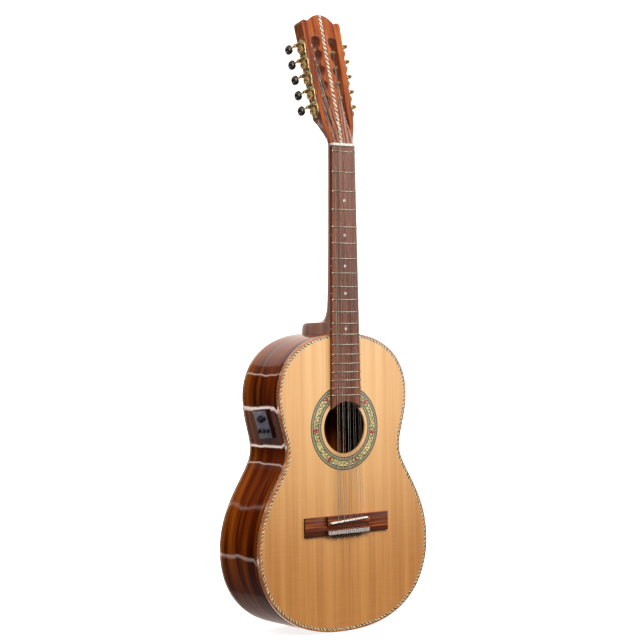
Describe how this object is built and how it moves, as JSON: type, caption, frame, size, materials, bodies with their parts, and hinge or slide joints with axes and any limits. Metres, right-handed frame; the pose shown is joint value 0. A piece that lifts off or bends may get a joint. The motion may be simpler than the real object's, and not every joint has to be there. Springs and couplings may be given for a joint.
{
  "type": "viola caipira",
  "caption": "Small-bodied acoustic-electric string instrument: waisted soundbox, slotted head, paired strings, geared tuners and a rib preamp.",
  "frame": {"origin": "middle of the flat outer face of the tail graft, at the bottom of the body", "axes": "+Z from the tail up the neck, -Y out of the soundboard towards the player's audience, +X to the treble side"},
  "size_m": [0.3414, 0.1263, 0.9868],
  "materials": {
    "spruce": "satin lacquered straight-grained spruce",
    "rosewood": "high gloss lacquered dark streaky rosewood",
    "bridge_rosewood": "satin dark rosewood",
    "board_wood": "open-pored reddish brown fingerboard wood",
    "binding_wood": "glossy orange-brown wood with a rope line",
    "mahogany": "satin lacquered mahogany",
    "veneer_wood": "glossy reddish brown veneer",
    "bracing_wood": "bare sanded spruce and cedar",
    "marquetry": "lacquered inlaid marquetry",
    "bone": "polished bone",
    "string_steel": "bright plain and wound steel",
    "fret_metal": "polished nickel silver",
    "inlay_dot": "polished white shell",
    "gold_metal": "gold plated, lightly engraved",
    "worm_steel": "plated steel",
    "black_knob": "polished black plastic",
    "panel_metal": "satin blue-grey metallic",
    "jack_metal": "nickel plated"
  },
  "bodies": {
    "instrument": {"tuner_plate_bass": "gold_metal", "tuner_plate_treble": "gold_metal", "headstock_veneer": "veneer_wood", "headstock_inlay": "marquetry", "preamp_panel": "panel_metal", "output_jack": "jack_metal", "soundboard": "spruce", "rosette": "marquetry", "back_plate": "rosewood", "top_binding": "binding_wood", "back_binding": "binding_wood", "rib_bass": "rosewood", "rib_treble": "rosewood", "tail_graft": "binding_wood", "tail_block": "mahogany", "top_lining": "bracing_wood", "back_lining": "bracing_wood", "top_bracing": "bracing_wood", "back_bracing": "bracing_wood", "bridge": "bridge_rosewood", "saddle": "bone", "tie_block_inlay": "marquetry", "fingerboard": "board_wood", "nut": "bone", "neck": "mahogany", "string_1": "string_steel", "string_2": "string_steel", "string_3": "string_steel", "string_4": "string_steel", "string_5": "string_steel", "string_6": "string_steel", "string_7": "string_steel", "string_8": "string_steel", "string_9": "string_steel", "string_10": "string_steel"},
    "worm_bass_1": {"tuner_knob_bass_1": "black_knob"},
    "post_bass_1": {"roller_bass_1": "worm_steel"},
    "worm_bass_2": {"tuner_knob_bass_2": "black_knob"},
    "post_bass_2": {"roller_bass_2": "worm_steel"},
    "worm_bass_3": {"tuner_knob_bass_3": "black_knob"},
    "post_bass_3": {"roller_bass_3": "worm_steel"},
    "worm_bass_4": {"tuner_knob_bass_4": "black_knob"},
    "post_bass_4": {"roller_bass_4": "worm_steel"},
    "worm_bass_5": {"tuner_knob_bass_5": "black_knob"},
    "post_bass_5": {"roller_bass_5": "worm_steel"},
    "worm_treble_1": {"tuner_knob_treble_1": "black_knob"},
    "post_treble_1": {"roller_treble_1": "worm_steel"},
    "worm_treble_2": {"tuner_knob_treble_2": "black_knob"},
    "post_treble_2": {"roller_treble_2": "worm_steel"},
    "worm_treble_3": {"tuner_knob_treble_3": "black_knob"},
    "post_treble_3": {"roller_treble_3": "worm_steel"},
    "worm_treble_4": {"tuner_knob_treble_4": "black_knob"},
    "post_treble_4": {"roller_treble_4": "worm_steel"},
    "worm_treble_5": {"tuner_knob_treble_5": "black_knob"},
    "post_treble_5": {"roller_treble_5": "worm_steel"},
    "volume_knob": {"volume_knob": "black_knob"},
    "tone_knob_1": {"tone_knob_1": "black_knob"},
    "tone_knob_2": {"tone_knob_2": "black_knob"},
    "tone_knob_3": {"tone_knob_3": "black_knob"},
    "preamp_button": {"preamp_button": "black_knob"}
  },
  "joints": [
    {"name": "tune_bass_1", "type": "hinge", "parent": "instrument", "child": "worm_bass_1", "pos_m": [-0.0409, -0.04279, 0.83786], "axis": [0, 0.9689, -0.2475], "continuous": true},
    {"name": "wind_bass_1", "type": "hinge", "parent": "instrument", "child": "post_bass_1", "pos_m": [-0.03332, -0.03497, 0.82605], "axis": [-0.9992, -0.0098, -0.0382], "continuous": true},
    {"name": "tune_bass_2", "type": "hinge", "parent": "instrument", "child": "worm_bass_2", "pos_m": [-0.04192, -0.03636, 0.86303], "axis": [0, 0.9689, -0.2475], "continuous": true},
    {"name": "wind_bass_2", "type": "hinge", "parent": "instrument", "child": "post_bass_2", "pos_m": [-0.03434, -0.02854, 0.85122], "axis": [-0.9992, -0.0098, -0.0382], "continuous": true},
    {"name": "tune_bass_3", "type": "hinge", "parent": "instrument", "child": "worm_bass_3", "pos_m": [-0.04295, -0.02993, 0.88821], "axis": [0, 0.9689, -0.2475], "continuous": true},
    {"name": "wind_bass_3", "type": "hinge", "parent": "instrument", "child": "post_bass_3", "pos_m": [-0.03537, -0.02211, 0.8764], "axis": [-0.9992, -0.0098, -0.0382], "continuous": true},
    {"name": "tune_bass_4", "type": "hinge", "parent": "instrument", "child": "worm_bass_4", "pos_m": [-0.04398, -0.0235, 0.91338], "axis": [0, 0.9689, -0.2475], "continuous": true},
    {"name": "wind_bass_4", "type": "hinge", "parent": "instrument", "child": "post_bass_4", "pos_m": [-0.03639, -0.01568, 0.90157], "axis": [-0.9992, -0.0098, -0.0382], "continuous": true},
    {"name": "tune_bass_5", "type": "hinge", "parent": "instrument", "child": "worm_bass_5", "pos_m": [-0.045, -0.01707, 0.93855], "axis": [0, 0.9689, -0.2475], "continuous": true},
    {"name": "wind_bass_5", "type": "hinge", "parent": "instrument", "child": "post_bass_5", "pos_m": [-0.03742, -0.00925, 0.92674], "axis": [-0.9992, -0.0098, -0.0382], "continuous": true},
    {"name": "tune_treble_1", "type": "hinge", "parent": "instrument", "child": "worm_treble_1", "pos_m": [0.0409, -0.04279, 0.83786], "axis": [0, 0.9689, -0.2475], "continuous": true},
    {"name": "wind_treble_1", "type": "hinge", "parent": "instrument", "child": "post_treble_1", "pos_m": [0.03332, -0.03497, 0.82605], "axis": [0.9992, -0.0098, -0.0382], "continuous": true},
    {"name": "tune_treble_2", "type": "hinge", "parent": "instrument", "child": "worm_treble_2", "pos_m": [0.04192, -0.03636, 0.86303], "axis": [0, 0.9689, -0.2475], "continuous": true},
    {"name": "wind_treble_2", "type": "hinge", "parent": "instrument", "child": "post_treble_2", "pos_m": [0.03434, -0.02854, 0.85122], "axis": [0.9992, -0.0098, -0.0382], "continuous": true},
    {"name": "tune_treble_3", "type": "hinge", "parent": "instrument", "child": "worm_treble_3", "pos_m": [0.04295, -0.02993, 0.88821], "axis": [0, 0.9689, -0.2475], "continuous": true},
    {"name": "wind_treble_3", "type": "hinge", "parent": "instrument", "child": "post_treble_3", "pos_m": [0.03537, -0.02211, 0.8764], "axis": [0.9992, -0.0098, -0.0382], "continuous": true},
    {"name": "tune_treble_4", "type": "hinge", "parent": "instrument", "child": "worm_treble_4", "pos_m": [0.04398, -0.0235, 0.91338], "axis": [0, 0.9689, -0.2475], "continuous": true},
    {"name": "wind_treble_4", "type": "hinge", "parent": "instrument", "child": "post_treble_4", "pos_m": [0.03639, -0.01568, 0.90157], "axis": [0.9992, -0.0098, -0.0382], "continuous": true},
    {"name": "tune_treble_5", "type": "hinge", "parent": "instrument", "child": "worm_treble_5", "pos_m": [0.045, -0.01707, 0.93855], "axis": [0, 0.9689, -0.2475], "continuous": true},
    {"name": "wind_treble_5", "type": "hinge", "parent": "instrument", "child": "post_treble_5", "pos_m": [0.03742, -0.00925, 0.92674], "axis": [0.9992, -0.0098, -0.0382], "continuous": true},
    {"name": "turn_volume", "type": "hinge", "parent": "instrument", "child": "volume_knob", "pos_m": [-0.12929, -0.00857, 0.34064], "axis": [-0.9646, 0, -0.2638], "range_deg": [-140, 140]},
    {"name": "turn_tone_1", "type": "hinge", "parent": "instrument", "child": "tone_knob_1", "pos_m": [-0.12399, 0.00225, 0.32125], "axis": [-0.9646, 0, -0.2638], "range_deg": [-140, 140]},
    {"name": "turn_tone_2", "type": "hinge", "parent": "instrument", "child": "tone_knob_2", "pos_m": [-0.12421, -0.00972, 0.32205], "axis": [-0.9646, 0, -0.2638], "range_deg": [-140, 140]},
    {"name": "turn_tone_3", "type": "hinge", "parent": "instrument", "child": "tone_knob_3", "pos_m": [-0.12443, -0.02169, 0.32286], "axis": [-0.9646, 0, -0.2638], "range_deg": [-140, 140]},
    {"name": "press_button", "type": "slide", "parent": "instrument", "child": "preamp_button", "axis": [0.9646, 0, 0.2638], "range_m": [0, 0.0012], "stiffness_N_per_m": 400}
  ],
  "couplings": [
    {"joint": "wind_bass_1", "follows": "tune_bass_1", "ratio": 0.071429},
    {"joint": "wind_bass_2", "follows": "tune_bass_2", "ratio": 0.071429},
    {"joint": "wind_bass_3", "follows": "tune_bass_3", "ratio": 0.071429},
    {"joint": "wind_bass_4", "follows": "tune_bass_4", "ratio": 0.071429},
    {"joint": "wind_bass_5", "follows": "tune_bass_5", "ratio": 0.071429},
    {"joint": "wind_treble_1", "follows": "tune_treble_1", "ratio": 0.071429},
    {"joint": "wind_treble_2", "follows": "tune_treble_2", "ratio": 0.071429},
    {"joint": "wind_treble_3", "follows": "tune_treble_3", "ratio": 0.071429},
    {"joint": "wind_treble_4", "follows": "tune_treble_4", "ratio": 0.071429},
    {"joint": "wind_treble_5", "follows": "tune_treble_5", "ratio": 0.071429}
  ]
}
